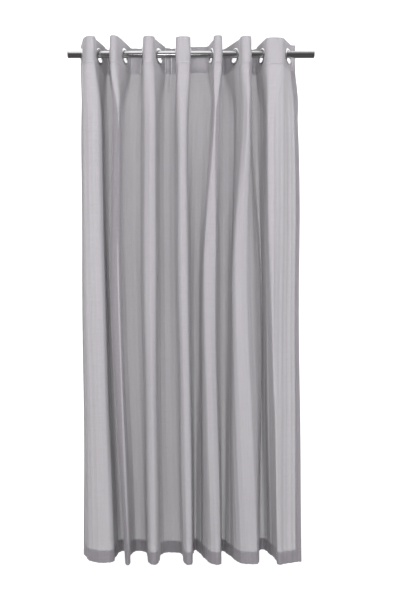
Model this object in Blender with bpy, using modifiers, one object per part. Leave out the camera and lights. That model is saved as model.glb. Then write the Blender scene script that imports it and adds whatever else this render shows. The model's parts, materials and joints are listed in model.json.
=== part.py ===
"""Eyelet-headed voile curtain panel, threaded on a short steel curtain pole.

One length of semi-sheer cloth hangs in seven forward folds from fourteen round eyelets.
The frame is in metres: the origin is on the pole's axis at its mid-length, +X runs along
the pole to the right, +Y goes away from the room and +Z is up. The face side of the cloth
is the side that looks into the room, towards -Y.
"""

import math
from bisect import bisect_right

import bmesh
import bpy
from mathutils import Matrix, Vector
from mathutils.geometry import interpolate_bezier

# Pole: a thin-walled steel tube with a flat plug pressed into each end.
POLE_RADIUS = 0.014
POLE_WALL = 0.001
POLE_STEPS = 24
BARE_POLE_LEFT = 0.059
BARE_POLE_RIGHT = 0.108
PLUG_HEAD = 0.003
PLUG_INSERT = 0.022
PLUG_FIT = 0.0003

# Cloth: the size it is cut to, how far it is drawn together, and its hems.
FLAT_WIDTH = 2.286
DROP = 2.127
HEADER_HEIGHT = 0.108
TOP_TO_EYELET = 0.059
HEM_HEIGHT = 0.050
SIDE_HEM = 0.025
SIDE_MARGIN = 0.051
CLOTH = 0.0004
LAYER_GAP = 0.0003
THREAD_WIDTH = 0.001
THREAD_THICKNESS = 0.0005
STITCH_INSET = 0.005
STIFFENER_INSET = 0.003

# Eyelets: a front ring with a barrel that goes through the cloth, and a back ring round it.
EYELET_HOLE_RADIUS = 0.024
EYELET_RADIUS = 0.033
BARREL_WALL = 0.0011
RING_HEIGHT = 0.0026
RING_FIT = 0.0003
RING_STEPS = 16
CUT_CLEARANCE = 0.0005
HANG_GAP = 0.0012

# How the eyelets stand along the pole: the distance from the first to the last, and for
# each eyelet its share of that distance and the turn, in degrees, of its cloth from square
# to the pole (positive: further right towards the back).
EYELET_SPAN = 0.850
EYELETS = (
    (0.000, -15.5),
    (0.084, 17.5),
    (0.136, -7.0),
    (0.207, 17.5),
    (0.296, -5.0),
    (0.374, 25.0),
    (0.460, 4.0),
    (0.523, -3.0),
    (0.628, -16.4),
    (0.678, 2.0),
    (0.742, -28.0),
    (0.819, 3.0),
    (0.873, -16.4),
    (1.000, 30.0),
)

# The same lines of cloth at the bottom hem: share of the distance, place in Y, and turn.
HEM_LINES = (
    (0.034, 0.020, -22.0),
    (0.155, 0.008, 3.0),
    (0.198, 0.010, -10.0),
    (0.252, 0.008, -2.0),
    (0.317, 0.006, -9.0),
    (0.382, 0.004, 6.0),
    (0.484, 0.006, -6.0),
    (0.538, 0.006, 5.0),
    (0.576, 0.010, -15.0),
    (0.672, 0.012, 4.0),
    (0.740, 0.012, -1.0),
    (0.857, 0.008, 7.0),
    (0.916, 0.010, -9.0),
    (0.994, -0.058, 84.0),
)
HEADER_FLAT = 0.036
HEM_FLAT = 0.012
LOOP_COLUMNS = 4
BODY_ROWS = 5

EYELET_PITCH = (FLAT_WIDTH - 2 * SIDE_MARGIN) / (len(EYELETS) - 1)
STACK = 3 * CLOTH + 2 * LAYER_GAP
RING_INSIDE = STACK / 2 + LAYER_GAP
RING_OUTSIDE = RING_INSIDE + RING_HEIGHT
BARREL_RADIUS = EYELET_HOLE_RADIUS + BARREL_WALL
EYELET_Z = POLE_RADIUS + HANG_GAP - EYELET_HOLE_RADIUS
TOP_Z = EYELET_Z + TOP_TO_EYELET
HEADER_Z = TOP_Z - HEADER_HEIGHT
BOTTOM_Z = TOP_Z - DROP
HEM_Z = BOTTOM_Z + HEM_HEIGHT
POLE_LENGTH = BARE_POLE_LEFT + EYELET_SPAN + BARE_POLE_RIGHT
POLE_LEFT = -POLE_LENGTH / 2
POLE_RIGHT = POLE_LENGTH / 2
FIRST_X = POLE_LEFT + BARE_POLE_LEFT


def clear_scene():
    for obj in list(bpy.data.objects):
        bpy.data.objects.remove(obj, do_unlink=True)


def new_collection(name, hidden=False):
    collection = bpy.data.collections.new(name)
    bpy.context.scene.collection.children.link(collection)
    collection.hide_render = hidden
    return collection


def new_material(name, colour, roughness, metallic=0.0):
    material = bpy.data.materials.new(name)
    material.use_nodes = True
    shader = material.node_tree.nodes["Principled BSDF"]
    shader.inputs["Base Color"].default_value = (*colour, 1.0)
    shader.inputs["Roughness"].default_value = roughness
    shader.inputs["Metallic"].default_value = metallic
    return material


def new_object(name, mesh, collection, material=None, parent=None):
    obj = bpy.data.objects.new(name, mesh)
    collection.objects.link(obj)
    obj.parent = parent
    if material:
        mesh.materials.append(material)
    return obj


def new_axis(name, collection, place, parent=None):
    """An empty on a joint's axis, for the pieces that move on it."""
    empty = bpy.data.objects.new(name, None)
    collection.objects.link(empty)
    empty.empty_display_size = 0.05
    empty.parent = parent
    empty.location = place if parent is None else place - parent.location
    return empty


def turned_mesh(name, profile, closed):
    """The profile of (radius, height) points for a Screw modifier, as a line of edges."""
    mesh = bpy.data.meshes.new(name)
    count = len(profile)
    edges = [(i, (i + 1) % count) for i in range(count if closed else count - 1)]
    mesh.from_pydata([(radius, 0.0, height) for radius, height in profile], edges, [])
    return mesh


def add_turning(obj, steps):
    """Turns a profile once round the object's Z axis."""
    screw = obj.modifiers.new("turning", "SCREW")
    screw.axis = "Z"
    screw.angle = math.tau
    screw.steps = steps
    screw.render_steps = steps
    screw.use_merge_vertices = True
    screw.merge_threshold = 0.00001
    screw.use_smooth_shade = True


# The cloth's plan


def flank(index, x, y, turn):
    """The point and the direction of travel, left to right, of one line of the cloth."""
    angle = math.radians(turn)
    back = 1.0 if index % 2 else -1.0
    return Vector((x, y, 0.0)), back * Vector((math.sin(angle), math.cos(angle), 0.0))


def path_length(points):
    return sum((b - a).length for a, b in zip(points, points[1:]))


def loop_between(start, start_way, end, end_way, length):
    """The round loop of cloth between two flanks, with its handles set for the length."""
    low, high = 0.0, length
    for _ in range(40):
        handle = (low + high) / 2
        points = interpolate_bezier(
            start, start + start_way * handle, end - end_way * handle, end, 33
        )
        if path_length(points) < length:
            low = handle
        else:
            high = handle
    return points


def plan_curve(lines, flat):
    """(distances, points) along the cloth's plan from its left edge to its right edge."""
    first, first_way = lines[0]
    distances = [0.0, SIDE_MARGIN]
    points = [first - first_way * SIDE_MARGIN, first]
    for number, ((a, a_way), (b, b_way)) in enumerate(zip(lines, lines[1:])):
        begin = SIDE_MARGIN + number * EYELET_PITCH
        length = EYELET_PITCH - 2 * flat
        loop = loop_between(a + a_way * flat, a_way, b - b_way * flat, b_way, length)
        scale = length / path_length(loop)
        travelled = begin + flat
        for before, point in zip([None, *loop], loop):
            travelled += (point - before).length * scale if before else 0.0
            distances.append(travelled)
            points.append(point)
        distances.append(begin + EYELET_PITCH)
        points.append(b)
    last, last_way = lines[-1]
    distances.append(FLAT_WIDTH)
    points.append(last + last_way * SIDE_MARGIN)
    return distances, points


def at_distance(curve, distance):
    distances, points = curve
    i = min(max(bisect_right(distances, distance) - 1, 0), len(points) - 2)
    share = (distance - distances[i]) / (distances[i + 1] - distances[i])
    return points[i].lerp(points[i + 1], min(max(share, 0.0), 1.0))


def cloth_columns():
    """Distances from the left edge at which the cloth's solids have a line of corners."""
    edges = [0.0, SIDE_HEM, FLAT_WIDTH - SIDE_HEM, FLAT_WIDTH]
    found = set(edges)
    for number in range(len(EYELETS)):
        centre = SIDE_MARGIN + number * EYELET_PITCH
        found.update((centre - HEADER_FLAT, centre, centre + HEADER_FLAT))
        if number < len(EYELETS) - 1:
            step = (EYELET_PITCH - 2 * HEADER_FLAT) / LOOP_COLUMNS
            found.update(
                centre + HEADER_FLAT + step * i for i in range(1, LOOP_COLUMNS)
            )
    return sorted(d for d in found if 0.0 <= d <= FLAT_WIDTH)


HEADER_LINES = [
    flank(i, FIRST_X + share * EYELET_SPAN, 0.0, turn)
    for i, (share, turn) in enumerate(EYELETS)
]
HEADER_PLAN = plan_curve(HEADER_LINES, HEADER_FLAT)
HEM_PLAN = plan_curve(
    [
        flank(i, FIRST_X + share * EYELET_SPAN, y, turn)
        for i, (share, y, turn) in enumerate(HEM_LINES)
    ],
    HEM_FLAT,
)
COLUMNS = cloth_columns()
ROWS = [
    TOP_Z,
    *[HEADER_Z + (HEM_Z - HEADER_Z) * i / BODY_ROWS for i in range(BODY_ROWS + 1)],
    BOTTOM_Z,
]


def row_change(z):
    """How far the plan has gone from the header's to the hem's at one of the rows."""
    share = min(max((HEADER_Z - z) / (HEADER_Z - BOTTOM_Z), 0.0), 1.0)
    return share * (1.5 - 0.5 * share)


def change_at(z):
    """The same at any height: straight from row to row, as the cloth's faces are."""
    for upper, lower in zip(ROWS, ROWS[1:]):
        if z >= lower or lower == BOTTOM_Z:
            share = (upper - z) / (upper - lower)
            return row_change(upper) * (1 - share) + row_change(lower) * share
    return 1.0


def offset_columns(z, offset):
    """The columns' points at a height, moved off the middle surface to the face side."""
    change = change_at(z)
    plan = [
        at_distance(HEADER_PLAN, d).lerp(at_distance(HEM_PLAN, d), change)
        for d in COLUMNS
    ]
    ways = [(b - a).normalized() for a, b in zip(plan, plan[1:])]
    moved = []
    for i, point in enumerate(plan):
        before = ways[max(i - 1, 0)]
        after = ways[min(i, len(ways) - 1)]
        middle = (before + after).normalized()
        face = Vector((middle.y, -middle.x, 0.0))
        moved.append(point + face * offset / middle.dot(after))
    return moved


def cloth_point(row, distance, z):
    """A point on a row of offset columns, on the flat between two of them."""
    i = min(max(bisect_right(COLUMNS, distance) - 1, 0), len(COLUMNS) - 2)
    share = (distance - COLUMNS[i]) / (COLUMNS[i + 1] - COLUMNS[i])
    point = row[i].lerp(row[i + 1], share)
    return Vector((point.x, point.y, z))


def add_cloth(name, distances, heights, outside, thickness, collection, look, parent):
    """One layer of cloth: its face side lies at `outside` from the middle surface."""
    bm = bmesh.new()
    bmesh.ops.create_grid(
        bm, x_segments=len(distances) - 1, y_segments=len(heights) - 1, size=0.5
    )
    rows = [offset_columns(z, outside) for z in heights]
    for vert in bm.verts:
        column = round((vert.co.x + 0.5) * (len(distances) - 1))
        level = round((0.5 - vert.co.y) * (len(heights) - 1))
        vert.co = cloth_point(rows[level], distances[column], heights[level])
    mesh = bpy.data.meshes.new(name)
    bm.to_mesh(mesh)
    bm.free()
    obj = new_object(name, mesh, collection, look, parent)
    solidify = obj.modifiers.new("thickness", "SOLIDIFY")
    solidify.thickness = thickness
    solidify.offset = -1.0
    solidify.use_even_offset = True
    return obj


def cut_holes(obj, cutter):
    hole = obj.modifiers.new("eyelet_holes", "BOOLEAN")
    hole.operation = "DIFFERENCE"
    hole.solver = "EXACT"
    hole.object = cutter


def ring_matrix(number):
    """Places an eyelet: its Z along the cloth's face side, its Y upright."""
    point, way = HEADER_LINES[number]
    face = Vector((way.y, -way.x, 0.0))
    side = Vector((0.0, 0.0, 1.0)).cross(face)
    turn = Matrix((side, Vector((0.0, 0.0, 1.0)), face)).transposed().to_4x4()
    return Matrix.Translation((point.x, point.y, EYELET_Z)) @ turn


def add_hole_cutter(collection):
    """Fourteen short rods in one mesh, a little wider than the eyelets' barrels."""
    bm = bmesh.new()
    for number in range(len(EYELETS)):
        bmesh.ops.create_cone(
            bm,
            cap_ends=True,
            segments=RING_STEPS,
            radius1=BARREL_RADIUS + CUT_CLEARANCE,
            radius2=BARREL_RADIUS + CUT_CLEARANCE,
            depth=0.012,
            matrix=ring_matrix(number),
        )
    mesh = bpy.data.meshes.new("eyelet_hole_cutter")
    bm.to_mesh(mesh)
    bm.free()
    cutter = new_object("eyelet_hole_cutter", mesh, collection)
    cutter.hide_render = True
    cutter.display_type = "WIRE"
    return cutter


# The pieces


def add_pole(collection):
    steel = new_material("polished_steel", (0.62, 0.62, 0.63), 0.22, 1.0)
    plug_look = new_material("plug_steel", (0.50, 0.50, 0.51), 0.35, 1.0)
    bore = POLE_RADIUS - POLE_WALL
    tube_left = POLE_LEFT + PLUG_HEAD + PLUG_FIT
    tube_right = POLE_RIGHT - PLUG_HEAD - PLUG_FIT
    along_x = Matrix.Rotation(math.pi / 2, 4, "Y")
    tube = new_object(
        "pole_tube",
        turned_mesh(
            "pole_tube",
            [
                (POLE_RADIUS, tube_right),
                (POLE_RADIUS, tube_left),
                (bore, tube_left),
                (bore, tube_right),
            ],
            closed=True,
        ),
        collection,
        steel,
    )
    tube.matrix_world = along_x
    add_turning(tube, POLE_STEPS)
    plug = [
        (0.0, PLUG_HEAD),
        (POLE_RADIUS, PLUG_HEAD),
        (POLE_RADIUS, 0.0),
        (bore - PLUG_FIT, 0.0),
        (bore - PLUG_FIT, -PLUG_INSERT),
        (0.0, -PLUG_INSERT),
    ]
    ends = (
        ("pole_plug_left", POLE_LEFT + PLUG_HEAD, -math.pi / 2),
        ("pole_plug_right", POLE_RIGHT - PLUG_HEAD, math.pi / 2),
    )
    for name, x, turn in ends:
        piece = new_object(
            name, turned_mesh(name, plug, closed=False), collection, plug_look
        )
        add_turning(piece, POLE_STEPS)
        piece.matrix_world = Matrix.Translation((x, 0.0, 0.0)) @ Matrix.Rotation(
            turn, 4, "Y"
        )


def add_eyelet(number, collection, parent, silver, back_silver):
    """The front ring with its barrel, and the back ring that snaps round the barrel."""
    rim = 0.0008
    bead = 0.0035
    ring_bore = BARREL_RADIUS + RING_FIT
    front = [
        (EYELET_HOLE_RADIUS, RING_OUTSIDE - 2 * rim),
        (EYELET_HOLE_RADIUS + bead / 2, RING_OUTSIDE),
        (EYELET_RADIUS - bead, RING_OUTSIDE),
        (EYELET_RADIUS, RING_INSIDE + rim),
        (EYELET_RADIUS, RING_INSIDE),
        (BARREL_RADIUS, RING_INSIDE),
        (BARREL_RADIUS, rim - RING_OUTSIDE),
        (EYELET_HOLE_RADIUS, rim - RING_OUTSIDE),
    ]
    back = [
        (ring_bore, -RING_INSIDE),
        (EYELET_RADIUS, -RING_INSIDE),
        (EYELET_RADIUS, -RING_INSIDE - rim),
        (EYELET_RADIUS - bead, -RING_OUTSIDE),
        (ring_bore, -RING_OUTSIDE),
    ]
    for side, profile, look in (
        ("front", front, silver),
        ("back", back, back_silver),
    ):
        name = f"eyelet_{number + 1:02d}_{side}"
        ring = new_object(
            name, turned_mesh(name, profile, closed=True), collection, look, parent
        )
        add_turning(ring, RING_STEPS)
        ring.matrix_basis = Matrix.Translation(-parent.matrix_world.translation) @ (
            ring_matrix(number)
        )


def add_cloth_layers(collection, cutter, parent):
    voile = new_material("voile", (0.66, 0.65, 0.68), 0.85)
    doubled = new_material("voile_turned_over", (0.60, 0.59, 0.62), 0.85)
    buckram = new_material("header_stiffener", (0.74, 0.73, 0.74), 0.90)
    face = STACK / 2
    second = face - CLOTH - LAYER_GAP
    third = second - CLOTH - LAYER_GAP
    common = {"thickness": CLOTH, "collection": collection, "parent": parent}
    panel = add_cloth("voile_panel", COLUMNS, ROWS, face, look=voile, **common)
    stiffener = add_cloth(
        "header_stiffener",
        [STIFFENER_INSET, *COLUMNS[1:-1], FLAT_WIDTH - STIFFENER_INSET],
        [TOP_Z - STIFFENER_INSET, HEADER_Z + STIFFENER_INSET],
        second,
        look=buckram,
        **common,
    )
    turnover = add_cloth(
        "header_turnover", COLUMNS, [TOP_Z, HEADER_Z], third, look=doubled, **common
    )
    for layer in (panel, stiffener, turnover):
        cut_holes(layer, cutter)
    add_cloth(
        "bottom_hem_turnup", COLUMNS, [HEM_Z, BOTTOM_Z], second, look=doubled, **common
    )
    between = [HEADER_Z - LAYER_GAP, *ROWS[2:-2], HEM_Z + LAYER_GAP]
    left = [d for d in COLUMNS if d <= SIDE_HEM]
    right = [d for d in COLUMNS if d >= FLAT_WIDTH - SIDE_HEM]
    for name, distances in (("left_side_hem", left), ("right_side_hem", right)):
        add_cloth(name, distances, between, second, look=doubled, **common)


def add_stitching(collection, parent):
    """Rows of thread on the face side, one along the inner edge of each hem."""
    thread = new_material("thread", (0.70, 0.69, 0.72), 0.70)
    outside = STACK / 2 + 2 * LAYER_GAP + THREAD_THICKNESS
    common = {
        "outside": outside,
        "thickness": THREAD_THICKNESS,
        "collection": collection,
        "look": thread,
        "parent": parent,
    }
    half = THREAD_WIDTH / 2
    for name, z in (
        ("header_stitching", HEADER_Z + STITCH_INSET),
        ("bottom_hem_stitching", HEM_Z - STITCH_INSET),
    ):
        add_cloth(name, COLUMNS, [z + half, z - half], **common)
    stop = STITCH_INSET - 2 * THREAD_WIDTH
    heights = [HEADER_Z + stop, *ROWS[1:-1], HEM_Z - stop]
    line = SIDE_HEM - STITCH_INSET
    for name, middle in (
        ("left_side_stitching", line),
        ("right_side_stitching", FLAT_WIDTH - line),
    ):
        add_cloth(name, [middle - half, middle + half], heights, **common)


def main():
    clear_scene()
    collection = new_collection("eyelet_curtain_panel")
    cutters = new_collection("cutters", hidden=True)
    add_pole(collection)
    swing = new_axis("panel_swing", collection, Vector((0.0, 0.0, 0.0)))
    cutter = add_hole_cutter(cutters)
    add_cloth_layers(collection, cutter, swing)
    add_stitching(collection, swing)
    silver = new_material("silver_ring", (0.80, 0.80, 0.81), 0.18, 1.0)
    back_silver = new_material("silver_back_ring", (0.72, 0.72, 0.73), 0.28, 1.0)
    for number, (point, _) in enumerate(HEADER_LINES):
        slide = new_axis(f"eyelet_{number + 1:02d}_slide", collection, point, swing)
        bpy.context.view_layer.update()
        add_eyelet(number, collection, slide, silver, back_silver)


main()
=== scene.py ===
"""Looks for the eyelet-headed voile curtain panel on its short steel pole.

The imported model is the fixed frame. Every soft or turned node is replaced by a finer piece
in the same place: the cloth is cut flat, with its eyelet holes, and then hung on the folds;
the rings and the pole are turned about the axes that the frame gives. Lengths are metres.
"""

import json
import logging
import math
from dataclasses import dataclass, field
from enum import Enum

import bmesh
import bpy
import numpy as np
from mathutils import Matrix, Vector


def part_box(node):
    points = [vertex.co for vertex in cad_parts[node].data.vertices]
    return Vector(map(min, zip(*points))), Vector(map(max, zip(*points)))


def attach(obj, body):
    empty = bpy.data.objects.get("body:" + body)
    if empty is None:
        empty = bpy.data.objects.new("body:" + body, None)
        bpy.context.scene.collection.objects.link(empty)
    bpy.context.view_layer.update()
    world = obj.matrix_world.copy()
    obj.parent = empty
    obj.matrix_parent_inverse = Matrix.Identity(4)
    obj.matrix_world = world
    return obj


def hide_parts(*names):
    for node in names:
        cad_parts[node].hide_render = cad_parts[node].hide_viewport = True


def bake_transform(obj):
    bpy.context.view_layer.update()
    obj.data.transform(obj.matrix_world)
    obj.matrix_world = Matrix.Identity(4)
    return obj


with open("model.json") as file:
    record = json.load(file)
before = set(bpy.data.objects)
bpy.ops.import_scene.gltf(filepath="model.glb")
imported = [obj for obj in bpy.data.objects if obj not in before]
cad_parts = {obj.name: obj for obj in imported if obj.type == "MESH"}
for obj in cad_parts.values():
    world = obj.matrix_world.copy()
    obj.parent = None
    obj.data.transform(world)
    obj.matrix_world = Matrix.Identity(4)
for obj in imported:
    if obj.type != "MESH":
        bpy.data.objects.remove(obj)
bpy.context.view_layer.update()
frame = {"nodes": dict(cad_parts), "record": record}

EYELET_COUNT = 14
log = logging.getLogger("curtain")


class Side(Enum):
    """The two faces of the cloth: FRONT looks into the room."""

    FRONT = 1
    BACK = -1


class Run(Enum):
    """Which way a row of stitches runs on the flat cloth."""

    ACROSS = "across"
    DOWN = "down"


# Small helpers


def smooth(values: np.ndarray | float) -> np.ndarray | float:
    """Eases 0..1 in and out.

    Args:
        values: Shares, which are clipped to 0..1.

    Returns:
        The eased shares.
    """
    t = np.clip(values, 0.0, 1.0)
    return t * t * (3.0 - 2.0 * t)


def arc(centre: tuple[float, float], radius: float, start: float, stop: float,
        steps: int) -> list[tuple[float, float]]:
    """Points on an arc of a turned profile.

    Args:
        centre: The arc's centre as (distance from the axis, height).
        radius: The arc's radius.
        start: The first angle in degrees, from the outward direction.
        stop: The last angle in degrees.
        steps: How many stretches the arc is cut into.

    Returns:
        The points as (distance from the axis, height).
    """
    angles = np.radians(np.linspace(start, stop, steps + 1))
    return [(centre[0] + radius * math.cos(a), centre[1] + radius * math.sin(a)) for a in angles]


def object_from(bm: bmesh.types.BMesh, name: str, *materials: bpy.types.Material) -> bpy.types.Object:
    """Turns a bmesh into a smooth-shaded object at the origin.

    Args:
        bm: The mesh, which is freed.
        name: The object's name.
        materials: Its materials, in slot order.

    Returns:
        The new object.
    """
    mesh = bpy.data.meshes.new(name)
    bm.to_mesh(mesh)
    bm.free()
    for material in materials:
        mesh.materials.append(material)
    mesh.shade_smooth()
    obj = bpy.data.objects.new(name, mesh)
    bpy.context.scene.collection.objects.link(obj)
    return obj


def turned(profile: list[tuple[float, float]], steps: int, place: Matrix) -> bmesh.types.BMesh:
    """Spins a closed profile once round its Z axis and puts it in place.

    Args:
        profile: Points as (distance from the axis, height), in order round the section.
        steps: The number of facets round the axis.
        place: The matrix that takes the turned shape to its place.

    Returns:
        The closed shape, with its faces outwards.
    """
    bm = bmesh.new()
    verts = [bm.verts.new((radius, 0.0, height)) for radius, height in profile]
    edges = [bm.edges.new((a, b)) for a, b in zip(verts, verts[1:] + verts[:1])]
    bmesh.ops.spin(bm, geom=verts + edges, cent=(0, 0, 0), axis=(0, 0, 1), angle=math.tau,
                   steps=steps, use_merge=True)
    bmesh.ops.remove_doubles(bm, verts=bm.verts, dist=1e-6)
    bmesh.ops.recalc_face_normals(bm, faces=bm.faces)
    bmesh.ops.transform(bm, matrix=place, verts=bm.verts)
    return bm


class Shader:
    """A short way to write a node tree."""

    def __init__(self, tree: bpy.types.NodeTree) -> None:
        """Keeps the tree that the nodes go into.

        Args:
            tree: A material's, a world's or a group's node tree.
        """
        self.tree = tree

    def node(self, kind: str, *inputs: object, **settings: object) -> bpy.types.Node:
        """Adds a node.

        Args:
            kind: The node's type, without "ShaderNode".
            inputs: A value or a socket for each input in order, or None to leave it alone.
            settings: Properties of the node.

        Returns:
            The new node.
        """
        made = self.tree.nodes.new(kind if kind.startswith("Node") else "ShaderNode" + kind)
        for key, value in settings.items():
            setattr(made, key, value)
        for socket, value in zip(made.inputs, inputs):
            self.feed(socket, value)
        return made

    def feed(self, socket: bpy.types.NodeSocket, value: object) -> None:
        """Sets a socket's value, or links another socket to it.

        Args:
            socket: The input.
            value: A number, a tuple, an output socket, or None to leave it alone.
        """
        if isinstance(value, bpy.types.NodeSocket):
            self.tree.links.new(value, socket)
        elif value is not None:
            socket.default_value = value

    def math(self, operation: str, *inputs: object, clamp: bool = False) -> bpy.types.NodeSocket:
        """Adds a Math node.

        Args:
            operation: Its operation.
            inputs: Its inputs, as for node().
            clamp: Whether the result is kept in 0..1.

        Returns:
            The node's output.
        """
        return self.node("Math", *inputs, operation=operation, use_clamp=clamp).outputs[0]

    def noise(self, vector: object, detail: float, roughness: float) -> bpy.types.NodeSocket:
        """Adds a 3-D noise texture at the scale of its coordinates.

        Args:
            vector: The socket of its coordinates.
            detail: Its octaves.
            roughness: How strong the fine octaves are.

        Returns:
            The noise's value, about 0.5.
        """
        return self.node("TexNoise", vector, None, 1.0, detail, roughness).outputs["Fac"]

    def stretched(self, vector: object, scale: tuple[float, float, float]) -> bpy.types.NodeSocket:
        """Scales coordinates by a Mapping node.

        Args:
            vector: The socket of the coordinates.
            scale: The scale on each axis.

        Returns:
            The scaled coordinates.
        """
        return self.node("Mapping", vector, None, None, scale).outputs[0]


def principled(name: str) -> tuple[bpy.types.Material, Shader, bpy.types.Node]:
    """A new material with its Principled BSDF.

    Args:
        name: The material's name.

    Returns:
        The material, a Shader on its tree, and the Principled node.
    """
    material = bpy.data.materials.new(name)
    material.use_nodes = True
    shader = Shader(material.node_tree)
    return material, shader, material.node_tree.nodes["Principled BSDF"]


def grouped(name: str, inputs: dict[str, str], outputs: dict[str, str]) -> tuple[Shader, object, object]:
    """A new shader node group.

    Args:
        name: The group's name.
        inputs: Each input's name and socket type.
        outputs: Each output's name and socket type.

    Returns:
        A Shader on the group's tree, and its input and output nodes.
    """
    tree = bpy.data.node_groups.new(name, "ShaderNodeTree")
    for direction, sockets in (("INPUT", inputs), ("OUTPUT", outputs)):
        for socket, kind in sockets.items():
            tree.interface.new_socket(name=socket, in_out=direction, socket_type="NodeSocket" + kind)
    shader = Shader(tree)
    return shader, shader.node("NodeGroupInput"), shader.node("NodeGroupOutput")


def weave_group() -> bpy.types.NodeTree:
    """The plain weave of the voile, measured along the cloth in metres.

    Returns:
        A group that puts out how much of the cloth its threads cover, the threads' height
        and the small changes of tone from yarn to yarn.
    """
    g, given, out = grouped(
        "plain_weave",
        {"Along": "Vector", "Pitch": "Float", "Cover": "Float", "Contrast": "Float", "Slubs": "Float"},
        {"Cover": "Float", "Height": "Float", "Tone": "Float"},
    )
    along = given.outputs["Along"]
    across, down, _ = g.node("SeparateXYZ", along).outputs
    turn = g.math("DIVIDE", math.pi, given.outputs["Pitch"])
    gaps = [g.math("ABSOLUTE", g.math("SINE", g.math("MULTIPLY", axis, turn))) for axis in (across, down)]
    gap = g.math("MULTIPLY", *gaps)
    upright = g.noise(g.stretched(along, (330.0, 9.0, 1.0)), 3.0, 0.6)
    level = g.noise(g.stretched(along, (11.0, 360.0, 1.0)), 3.0, 0.6)
    broad = g.noise(g.stretched(along, (26.0, 1.3, 1.0)), 2.0, 0.5)
    yarn = g.math("ADD", g.math("ADD", upright, level), g.math("MULTIPLY", broad, 0.8))
    mean_yarn, mean_gap = 1.4, 0.405
    uneven = g.math("MULTIPLY", g.math("SUBTRACT", yarn, mean_yarn), given.outputs["Slubs"])
    threads = g.math("MULTIPLY", g.math("SUBTRACT", mean_gap, gap), given.outputs["Contrast"])
    cover = g.math("ADD", g.math("ADD", given.outputs["Cover"], threads), uneven, clamp=True)
    g.feed(out.inputs["Cover"], cover)
    g.feed(out.inputs["Height"], g.math("SUBTRACT", 1.0, gap))
    g.feed(out.inputs["Tone"], g.math("ADD", 1.0, g.math("MULTIPLY", uneven, 0.7)))
    return g.tree


def wear_group() -> bpy.types.NodeTree:
    """Fine polishing marks and handling haze on bare metal.

    Returns:
        A group that puts out a roughness, a brightness and the marks' height.
    """
    g, given, out = grouped(
        "polished_metal",
        {"Place": "Vector", "Roughness": "Float", "Haze": "Float"},
        {"Roughness": "Float", "Tone": "Float", "Height": "Float"},
    )
    place = given.outputs["Place"]
    marks = g.noise(place, 4.0, 0.65)
    haze = g.noise(g.stretched(place, (0.02, 0.02, 0.02)), 3.0, 0.5)
    both = g.math("ADD", g.math("MULTIPLY", marks, 0.5), g.math("MULTIPLY", haze, 0.5))
    change = g.math("MULTIPLY", g.math("SUBTRACT", both, 0.5), given.outputs["Haze"])
    g.feed(out.inputs["Roughness"], g.math("ADD", given.outputs["Roughness"], change, clamp=True))
    g.feed(out.inputs["Tone"], g.math("SUBTRACT", 1.0, g.math("MULTIPLY", change, 0.8)))
    g.feed(out.inputs["Height"], marks)
    return g.tree


# Finishes


@dataclass(frozen=True)
class ClothFinish:
    """A woven cloth, see-through between its threads, whose cover rises where it faces sideways: this stands
    in for cloth seen aslant and paints shade on the flanks of the folds.

    Attributes:
        name: The material's name.
        colour: The threads' colour.
        cover: The share of the surface that the threads cover.
        contrast: How much denser the cover is on the threads than between them.
        slubs: How uneven the yarn is.
        pitch: The distance from thread to thread.
        sheen: The soft shine at glancing angles.
    """

    name: str
    colour: tuple[float, float, float]
    cover: float
    contrast: float = 0.40
    slubs: float = 0.16
    pitch: float = 0.0009
    sheen: float = 0.25

    def make(self, weave: bpy.types.NodeTree) -> bpy.types.Material:
        """Builds the material.

        Args:
            weave: The weave's node group.

        Returns:
            The material.
        """
        material, s, bsdf = principled(self.name)
        along = s.node("UVMap", uv_map="flat_cloth").outputs[0]
        woven = s.node("Group", node_tree=weave)
        for socket, value in (("Along", along), ("Pitch", self.pitch), ("Cover", self.cover),
                              ("Contrast", self.contrast), ("Slubs", self.slubs)):
            s.feed(woven.inputs[socket], value)
        tone = s.node("VectorMath", (*self.colour,), None, operation="SCALE")
        s.feed(tone.inputs["Scale"], woven.outputs["Tone"])
        bump = s.node("Bump", 0.25, 0.0003)
        s.feed(bump.inputs["Height"], woven.outputs["Height"])
        # Painted shade: the threads cover more where the cloth faces sideways (small normal Y). The flanks of
        # the folds then show less of the bright wall and look darker, in every view.
        facing = s.node("SeparateXYZ", s.node("NewGeometry").outputs["Normal"]).outputs[1]
        gaps = s.math("MULTIPLY", s.math("SUBTRACT", 1.0, woven.outputs["Cover"]), s.math("ABSOLUTE", facing))
        covered = s.math("SUBTRACT", 1.0, gaps, clamp=True)
        for socket, value in (("Base Color", tone.outputs[0]), ("Roughness", 0.85),
                              ("Alpha", covered), ("Normal", bump.outputs[0]),
                              ("Specular IOR Level", 0.2), ("Sheen Weight", self.sheen),
                              ("Sheen Roughness", 0.5)):
            s.feed(bsdf.inputs[socket], value)
        return material


@dataclass(frozen=True)
class TapeFinish:
    """The stiff, close-woven tape inside the header.

    Attributes:
        name: The material's name.
        colour: The tape's colour.
        rib: The distance from one of its ribs to the next.
    """

    name: str = "header_tape"
    colour: tuple[float, float, float] = (0.80, 0.79, 0.81)
    rib: float = 0.0012

    def make(self) -> bpy.types.Material:
        """Builds the material and returns it."""
        material, s, bsdf = principled(self.name)
        along = s.node("UVMap", uv_map="flat_cloth").outputs[0]
        fibres = s.noise(s.stretched(along, (900.0, 900.0, 1.0)), 4.0, 0.7)
        ribs = s.math("ABSOLUTE", s.math("SINE", s.math(
            "MULTIPLY", s.node("SeparateXYZ", along).outputs[1], math.pi / self.rib)))
        tone = s.node("VectorMath", (*self.colour,), None, operation="SCALE")
        s.feed(tone.inputs["Scale"], s.math("ADD", 0.9, s.math("MULTIPLY", fibres, 0.2)))
        bump = s.node("Bump", 0.3, 0.0003)
        s.feed(bump.inputs["Height"], s.math("ADD", ribs, fibres))
        for socket, value in (("Base Color", tone.outputs[0]), ("Roughness", 0.95),
                              ("Normal", bump.outputs[0])):
            s.feed(bsdf.inputs[socket], value)
        return material


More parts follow.
